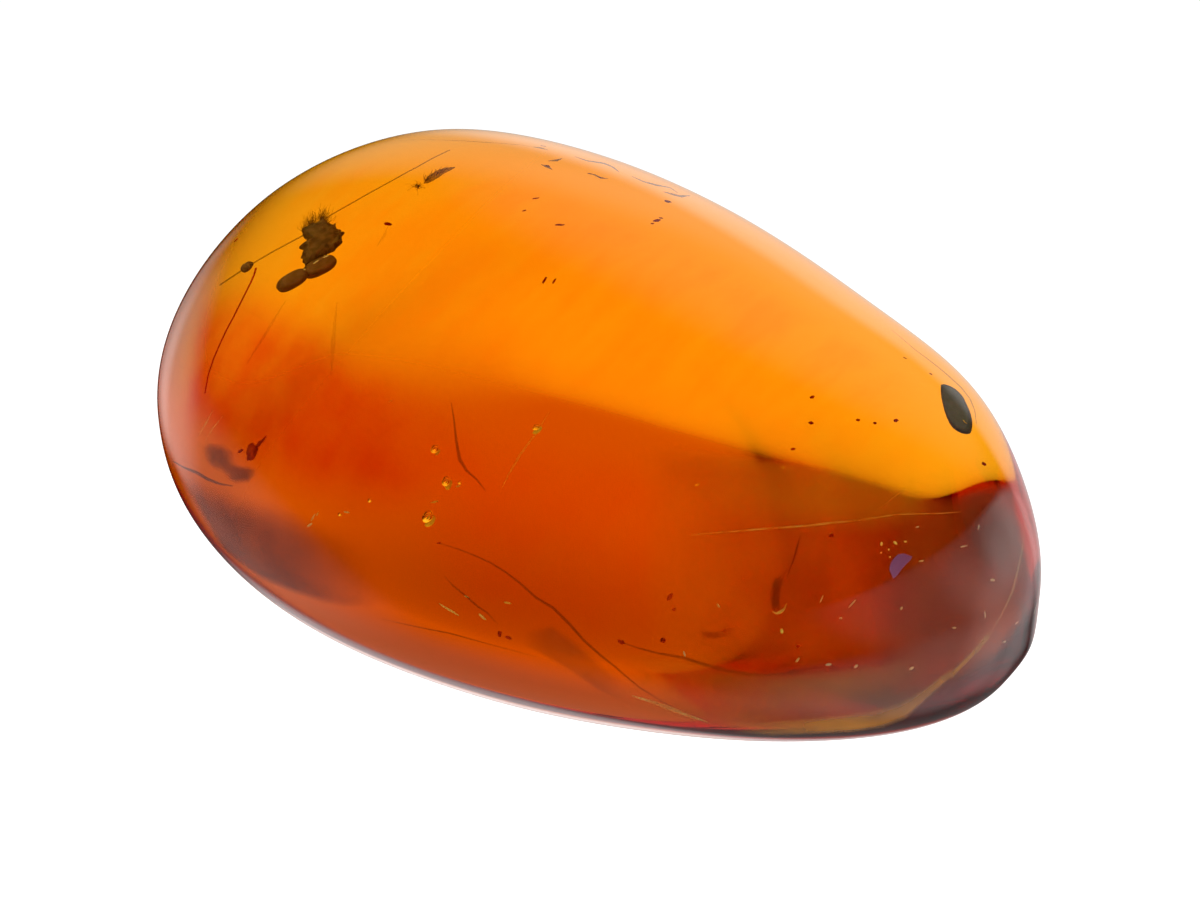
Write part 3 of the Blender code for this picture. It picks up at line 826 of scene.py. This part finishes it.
DUST_LINES = (
    (0.9, 0.24, ((574.5, 156.4), (586.7, 160.7), (604, 163.3), (612.7, 167), (619, 172))),
    (0.9, 0.24, ((631.7, 176.3), (643.9, 181.7), (656, 185), (669.9, 187.7), (678, 193))),
    (0.9, 0.34, ((663.8, 191.9), (673.3, 194.5), (680.3, 196.3), (689.8, 195.7))),
    (0.9, 0.22, ((541, 164.5), (547, 166.5), (552, 169.5))),
    (0.9, 0.2, ((548, 161), (556, 160.5), (562, 158.5))),
    (0.9, 0.16, ((533, 147), (541, 148), (548, 150))),
    (0.9, 0.18, ((588, 173), (595, 175), (601, 178), (608, 178.5))),
    (1.5, 0.14, ((173, 461), (183, 467), (197, 472.7), (207.4, 479), (220, 484), (233, 486))),
)
# Painted glints: flow skins drawn bright orange and yellow where they catch the light; the last row is the
# painted highlight of a bubble, a crescent
GLINT_LINES = (
    (2.4, 0.09, (
        (690, 535), (715, 533), (740, 530.8), (775.7, 527.9), (808.9, 525.7), (828, 523.2), (854.8, 520.6),
        (898.3, 514.4), (941.6, 513.4), (960.8, 511.9),
    )),
    (2.4, 0.06, ((905.9, 487.7), (893, 498), (876.6, 510.6))),
    (1.2, 0.24, ((632, 695.7), (650, 701), (669, 708), (690, 716), (707.4, 722))),
    (2.4, 0.14, ((771.9, 611.2), (776.4, 613.7), (780.8, 611.8), (784, 609.3), (786.6, 603.5))),
)
# Faint painted glints along flow skins
FAINT_GLINT_LINES = (
    (4, 0.12, ((549.4, 411.9), (537, 432), (520, 455), (509, 474), (502, 488))),
    (2, 0.1, ((197, 438), (205, 425), (213, 410))),
    (2, 0.08, ((206, 440), (213, 428), (223, 416))),
    (0.5, 0.14, (
        (1024.5, 522), (1023.3, 543.8), (1019.5, 561.6), (1012.4, 591.4), (1006.8, 604), (999.8, 618),
        (991.4, 630.6),
    )),
)
FLOW_BROWN = (0.1, 0.01, 0.005)
GLINT_ORANGE = (0.9, 0.3, 0.03)
DUST_PURPLE = (0.12, 0.06, 0.15)
LINE_TAPER = 0.8
LINE_THICKEST_AT = 0.5


def drawn_lines(name, rows, finish):
    """Flow lines, each thickest midway along."""
    for number, (depth, thickness, pixels) in enumerate(rows, 1):
        path = [seen_under(pixel, depth * MM) for pixel in pixels]
        line = strands(f"{name}_{number}", [path], thickness * MM, LINE_TAPER, LINE_THICKEST_AT)
        finish_piece(line, finish)


# Each kind of line: its rows, its dark and its light colour, its mottle's scale, its roughness and its alpha
for name, rows, dark, light, scale, roughness, alpha in (
    ("dark", DARK_LINES, FLOW_BROWN, FLOW_BROWN, 900, 0.6, 0.3),
    ("soft", SOFT_LINES, FLOW_BROWN, FLOW_BROWN, 900, 0.6, 0.08),
    ("dust", DUST_LINES, DUST_PURPLE, DUST_PURPLE, 900, 0.8, 0.5),
    ("bright", GLINT_LINES, GLINT_ORANGE, GLINT_YELLOW, 1800, 0.3, 0.4),
    ("faint", FAINT_GLINT_LINES, GLINT_YELLOW, GLINT_YELLOW, 900, 0.3, 0.12),
):
    flow_skin = new_finish(f"flow_{name}", dark, light, scale, roughness, alpha=alpha)
    drawn_lines(f"{name}_line", rows, flow_skin)

# Clouds and films: layers of resin clouded by dust, each between two rows of pixels. Brown ones hang in the
# narrow end and under the blunt end. A dark one at the narrow end's rim and one beside a bubble are painted
# shade, and a golden one that lines the lower edge is painted light.
FILM_STEPS = 48
FILM_THICKNESS = 0.02 * MM
LAYER_GAP = 0.15 * MM
CLOUD_MOTTLE = 0.3
CLOUD_GRAIN = 0.9
DUST_SCALE = 300.0
DUST_ROUGHNESS = 0.9
# Each film: its depth in mm, its edges' fades (start, end, upper, lower), its layers and the strength of
# each, its dark and its light colour, and the pixels along its upper and its lower edge
FILMS = {
    "nose_cloud": (3, (0.55, 0.35, 0.1, 0.3), 5, 0.18, (0.88, 0.13, 0.005), (1, 0.21, 0.015), (
        (632, 436), (660, 440), (700, 447), (745, 454), (790, 460), (830, 468), (870, 480), (915, 494),
        (950, 500),
    ), (
        (640, 655), (670, 672), (705, 686), (745, 696), (790, 705), (830, 710), (865, 708), (905, 690),
        (930, 640),
    )),
    "shelf_cloud": (2.2, (0.6, 0.3, 0.1, 0.6), 2, 0.17, (0.85, 0.3, 0.01), (1, 0.42, 0.02), (
        (640, 438), (700, 449), (745, 456), (790, 461), (830, 469), (870, 480), (915, 490), (950, 494),
    ), (
        (640, 510), (700, 520), (745, 530), (790, 538), (830, 540), (870, 540), (910, 528), (940, 516),
    )),
    "end_cloud": (2.5, (0.35, 0.15, 0.12, 0.2), 4, 0.17, (0.5, 0.085, 0.012), (0.7, 0.14, 0.03), (
        (880, 492), (920, 494), (960, 494), (1000, 494), (1030, 530),
    ), (
        (860, 702), (905, 709), (945, 696), (993, 666), (1036, 611),
    )),
    "foot_cloud": (1.5, (0.35, 0.3, 0.3, 0.1), 4, 0.16, (0.45, 0.16, 0.01), (0.65, 0.23, 0.02), (
        (605, 642), (700, 660), (760, 669), (830, 668), (885, 660), (930, 645),
    ), (
        (615, 709), (720, 729), (780, 731), (840, 727), (895, 713), (935, 688),
    )),
    "dim_cloud": (2.5, (0.08, 0.65, 0.45, 0.08), 4, 0.17, (0.16, 0.012, 0.02), (0.23, 0.02, 0.032), (
        (172, 468), (200, 478), (233, 488), (260, 495), (285, 502), (316, 514), (350, 528), (385, 545),
    ), (
        (218, 545), (240, 564), (262, 580), (290, 592), (318, 602), (345, 608), (372, 608), (400, 605),
    )),
    # Painted shade: a dark red-brown sheet under the skin at the narrow end's rim
    "collar_painted_shade": (0.8, (0.3, 0.1, 0.12, 0.4), 3, 0.17, (0.24, 0.06, 0.03), (0.34, 0.09, 0.045), (
        (950, 495), (975, 487), (996, 481), (1012, 481),
    ), (
        (962, 560), (990, 580), (1010, 590), (1036, 590),
    )),
    "smudge_upper": (1.5, (0.38, 0.38, 0.38, 0.38), 3, 0.2, (0.13, 0.02, 0.035), (0.19, 0.035, 0.06), (
        (198, 444), (210, 440), (222, 442), (236, 447),
    ), (
        (203, 462), (214, 471), (226, 476), (240, 474),
    )),
    "smudge_lower": (1.5, (0.38, 0.38, 0.38, 0.38), 3, 0.2, (0.13, 0.02, 0.035), (0.19, 0.035, 0.06), (
        (218, 464), (232, 462), (245, 465), (259, 467),
    ), (
        (224, 480), (236, 485), (248, 484), (259, 475),
    )),
    "band_cloud": (2.5, (0.3, 0.3, 0.3, 0.15), 1, 0.19, (0.12, 0.03, 0.05), (0.18, 0.05, 0.08), (
        (515, 633), (553, 622), (578, 640), (604, 664), (640, 694),
    ), (
        (518, 642), (545, 658), (570, 672), (596, 690), (630, 706),
    )),
    # Painted light: bright golden bands just under the skin along the lower edge
    "golden_painted_glow": (0.5, (0.3, 0.1, 0.35, 0.3), 1, 0.65, (0.5, 0.2, 0.02), (0.95, 0.46, 0.06), (
        (725, 722), (773, 719), (816, 717), (850, 713), (880, 707), (898, 702), (914, 694), (929, 684),
        (955, 665),
    ), (
        (725, 735), (773, 737), (816, 735), (850, 733), (882, 729), (906, 720), (921, 706), (936, 692),
        (958, 671),
    )),
    "golden_arc_painted_glow": (0.5, (0.1, 0.3, 0.3, 0.3), 1, 0.5, (0.5, 0.22, 0.04), (0.7, 0.36, 0.07), (
        (945, 677), (963, 659), (975, 647), (983, 637), (991, 627),
    ), (
        (948, 683), (967, 664), (979, 652), (987, 642), (994, 632),
    )),
    "brown_smear": (4, (0.25, 0.25, 0.4, 0.4), 1, 0.42, (0.12, 0.02, 0.008), (0.22, 0.04, 0.012), (
        (698, 629), (706, 630), (716, 631), (726, 626), (736, 627),
    ), (
        (699, 637), (707, 640), (717, 640), (727, 637), (736, 636),
    )),
    # Painted shade: a dark oval beside the bubble's painted crescent
    "drop_shade": (2.2, (0.3, 0.2, 0.4, 0.4), 1, 0.4, (0.16, 0.015, 0.004), (0.22, 0.025, 0.006), (
        (775, 572), (771, 582), (769, 592), (769, 602), (771, 612),
    ), (
        (788, 574), (784, 583), (782, 592), (781, 602), (781, 612),
    )),
    "violet_flake": (0.8, (0, 0, 0.05, 0), 1, 0.85, (0.3, 0.11, 0.42), (0.42, 0.18, 0.58), (
        (912.3, 556.5), (904, 553.3), (898.3, 554), (893.8, 557.8), (890.6, 562.9), (889, 569.3),
        (893.4, 578.9),
    ), (
        (912.3, 556.5), (910.4, 560.4), (907, 563.5), (904.6, 566), (901, 570), (898.3, 574.4),
        (893.4, 578.9),
    )),
}


def film(name, near_row, far_row, depth, fades):
    """A thin closed sheet between two rows of pixels. Its attribute veil fades to 0 towards its edges."""
    deselect_all()
    bpy.ops.mesh.primitive_grid_add(x_subdivisions=FILM_STEPS, y_subdivisions=FILM_STEPS // 2, size=2.0)
    made = bpy.context.object
    made.name = name
    veil = made.data.attributes.new("veil", "FLOAT", "POINT")
    for vert in made.data.vertices:
        along, across = (vert.co.x + 1) / 2, (vert.co.y + 1) / 2
        pixel = row_point(near_row, along).lerp(row_point(far_row, along), across)
        clear = 1.0
        for share, fade in zip((along, 1 - along, across, 1 - across), fades):
            if share < fade:
                clear *= (share / fade) ** 2 * (3 - 2 * share / fade)
        vert.co = seen_under(pixel, depth)
        patchy = 1 + CLOUD_MOTTLE * noise.noise(vert.co / MM * CLOUD_GRAIN)
        veil.data[vert.index].value = patchy * clear
    bpy.ops.object.modifier_add(type="SOLIDIFY")
    made.modifiers[0].thickness = FILM_THICKNESS
    bpy.ops.object.modifier_apply(modifier=made.modifiers[0].name)
    bpy.ops.object.shade_smooth()
    return made


def cloud(name, near_row, far_row, depth, fades, layers):
    """A few films, one under the other, in one piece."""
    return joined([
        film(name, near_row, far_row, depth * MM + layer * LAYER_GAP, fades) for layer in range(layers)
    ])


def cloud_finish(name, dark, light, strength):
    """Dusty resin, and for a few films painted shade and painted light, as dense as the piece's attribute
    veil says.
    """
    made = new_finish(name, dark, light, DUST_SCALE, DUST_ROUGHNESS, bump=0.0, detail=1.0)
    nodes, links = made.node_tree.nodes, made.node_tree.links
    dense = math_node(nodes, links, "MULTIPLY", attribute_node(nodes, "veil"), strength, clamp=True)
    links.new(dense, nodes["Principled BSDF"].inputs["Alpha"])
    return made


for name, (depth, fades, layers, strength, dark, light, near_row, far_row) in FILMS.items():
    hanging = cloud(name, near_row, far_row, depth, fades, layers)
    finish_piece(hanging, cloud_finish(f"{name}_dust", dark, light, strength))

# Tinted layers: resin that has darkened to red with age, at the blunt end and low in the middle, and faint
# streaks in the bright upper part, drawn out across the drop as the resin flowed.
# Each tint: its depth in mm, its fades, how streaky it is, what it lets through, and its two rows of pixels
TINTS = {
    "red_tint": (3, (0.06, 0.5, 0.35, 0.35), 0.3, (0.86, 0.33, 0.45), (
        (196, 285), (245, 262), (290, 285), (350, 335), (420, 370), (500, 400),
    ), (
        (172, 440), (235, 490), (300, 515), (370, 530), (430, 520), (500, 500),
    )),
    "deep_tint": (4.2, (0.3, 0.3, 0.25, 0.3), 0.3, (1, 0.76, 0.85), (
        (400, 400), (480, 420), (560, 432), (640, 440), (720, 452),
    ), (
        (400, 620), (480, 650), (560, 672), (640, 688), (720, 692),
    )),
    "streak_tint": (2, (0.15, 0.15, 0.15, 0.2), 1, (1, 0.88, 0.75), (
        (262, 215), (330, 160), (420, 150), (520, 165), (640, 215), (760, 275), (880, 350), (950, 400),
    ), (
        (222, 300), (290, 335), (370, 365), (480, 395), (600, 410), (720, 435), (830, 462), (940, 488),
    )),
}
STREAK_SCALE = 700.0
STREAK_DETAIL = 4.0
STREAK_LENGTH = 3.5


def tint_finish(name, tint, streakiness):
    """Clear tinted resin, as strong as the piece's attribute veil says, in streaks across the drop."""
    made, nodes, links, shader = clear_material(name, tint, 1.0)
    shader.inputs["Roughness"].default_value = 0.0
    squeeze = nodes.new("ShaderNodeMapping")
    squeeze.inputs["Scale"].default_value = (1.0, 1 / STREAK_LENGTH, 1.0)
    links.new(nodes.new("ShaderNodeTexCoord").outputs["Object"], squeeze.inputs["Vector"])
    streaks = mottle_node(nodes, links, squeeze.outputs["Vector"], STREAK_SCALE, STREAK_DETAIL)
    there = ranged(nodes, links, streaks, *MOTTLE_BAND, 1 - streakiness, 1.0)
    dense = math_node(nodes, links, "MULTIPLY", attribute_node(nodes, "veil"), there, clamp=True)
    links.new(dense, shader.inputs["Alpha"])
    return made


for name, (depth, fades, streakiness, tint, near_row, far_row) in TINTS.items():
    layer = film(name, near_row, far_row, depth * MM, fades)
    finish_piece(layer, tint_finish(f"{name}_resin", tint, streakiness))

# The table and the light. A white table glows under the stone, most where it stands, and a pale tent stands
# over it, dimmer low down. The polished skin mirrors a few white cards round the stone, and not the table.
TABLE_SIZE = 4.0
TABLE_GAP = 0.05 * MM
TABLE_SHADE = 0.4
TABLE_ROUGHNESS = 0.8
TABLE_SHINE = 0.2
TABLE_GLOW = 1.5
TABLE_GLOW_AFAR = 1.0
GLOW_REACH = 45.0 * MM
TENT_GLOW = 1.2
TENT_GLOW_LOW = 0.7
TENT_LOW = math.sin(math.radians(32))
TENT_HIGH = math.sin(math.radians(46))
# Each card: bearing from +Y to +X, height over the level, inner and outer reach, in degrees, and its glow
CARDS = (
    (270, -14, 8, 26, 0.75), (238, -22, 20, 42, 0.38), (288, -23, 5, 17, 0.5), (325, 0, 8, 24, 0.28),
    (345, 25, 8, 30, 0.27), (345, -20, 18, 28, 0.65), (300, -62, 7, 16, 0.7), (323, -52, 7, 16, 0.65),
    (180, -90, 30, 50, 0.2),
)
# The cards before the narrow end are cut off along one nearly straight edge
CUT_CARDS = (
    (45, -12, 18, 50, 1.1), (65, 22, 5, 32, 0.5), (35, 15, 5, 30, 0.5), (100, -35, 15, 45, 0.75),
    (98, 22, 12, 40, 0.35),
)
CUT = (84, -27, 74, 77, 1.0)
LIGHT_BOUNCES = 32
CLEAR_BOUNCES = 128

deselect_all()
bpy.ops.mesh.primitive_plane_add(size=TABLE_SIZE, location=(0.0, 0.0, -TABLE_GAP))
table = bpy.context.object
table.name = "light_table"
table_finish, nodes, links, shader = blank_material("light_table")
shader.inputs["Base Color"].default_value = (TABLE_SHADE, TABLE_SHADE, TABLE_SHADE, 1.0)
shader.inputs["Roughness"].default_value = TABLE_ROUGHNESS
shader.inputs["Specular IOR Level"].default_value = TABLE_SHINE
shader.inputs["Emission Color"].default_value = (*CLEAR, 1.0)
from_stone = nodes.new("ShaderNodeVectorMath")
from_stone.operation = "LENGTH"
links.new(nodes.new("ShaderNodeTexCoord").outputs["Object"], from_stone.inputs[0])
away = from_stone.outputs["Value"]
glow = ranged(nodes, links, away, 0.0, GLOW_REACH, TABLE_GLOW, TABLE_GLOW_AFAR, smooth=True)
links.new(glow, shader.inputs["Emission Strength"])
table.data.materials.append(table_finish)
table.visible_glossy = False
# The amber bends each ray, so none is aimed at the table or the tent
table_finish.cycles.emission_sampling = "NONE"

tent = bpy.data.worlds.new("tent")
bpy.context.scene.world = tent
tent.use_nodes = True
nodes, links = tent.node_tree.nodes, tent.node_tree.links
heading = nodes.new("ShaderNodeTexCoord").outputs["Generated"]
axes = nodes.new("ShaderNodeSeparateXYZ")
links.new(heading, axes.inputs["Vector"])
height = axes.outputs["Z"]
tent_glow = ranged(nodes, links, height, TENT_LOW, TENT_HIGH, TENT_GLOW_LOW, TENT_GLOW, smooth=True)


def card(bearing, height, inner, outer, glow):
    """The glow of one round card with soft edges, by the heading in which it is seen."""
    bearing, height = math.radians(bearing), math.radians(height)
    facing = nodes.new("ShaderNodeVectorMath")
    facing.operation = "DOT_PRODUCT"
    links.new(heading, facing.inputs[0])
    facing.inputs[1].default_value = (
        math.sin(bearing) * math.cos(height), math.cos(bearing) * math.cos(height), math.sin(height)
    )
    reach = [math.cos(math.radians(angle)) for angle in (outer, inner)]
    return ranged(nodes, links, facing.outputs["Value"], *reach, 0.0, glow, smooth=True)


card_glow = 0.0
for row in CUT_CARDS:
    card_glow = math_node(nodes, links, "ADD", card(*row), card_glow)
card_glow = math_node(nodes, links, "MULTIPLY", card(*CUT), card_glow)
for row in CARDS:
    card_glow = math_node(nodes, links, "ADD", card(*row), card_glow)
ray_kind = nodes.new("ShaderNodeLightPath")
either = nodes.new("ShaderNodeMix")
links.new(ray_kind.outputs["Is Reflection Ray"], either.inputs["Factor"])
links.new(tent_glow, either.inputs["A"])
links.new(card_glow, either.inputs["B"])
nodes["Background"].inputs["Color"].default_value = (*CLEAR, 1.0)
links.new(either.outputs["Result"], nodes["Background"].inputs["Strength"])
tent.cycles.sampling_method = "NONE"

bpy.context.scene.view_settings.view_transform = "Standard"
bpy.context.scene.cycles.max_bounces = LIGHT_BOUNCES
bpy.context.scene.cycles.glossy_bounces = LIGHT_BOUNCES
bpy.context.scene.cycles.transmission_bounces = LIGHT_BOUNCES
bpy.context.scene.cycles.transparent_max_bounces = CLEAR_BOUNCES
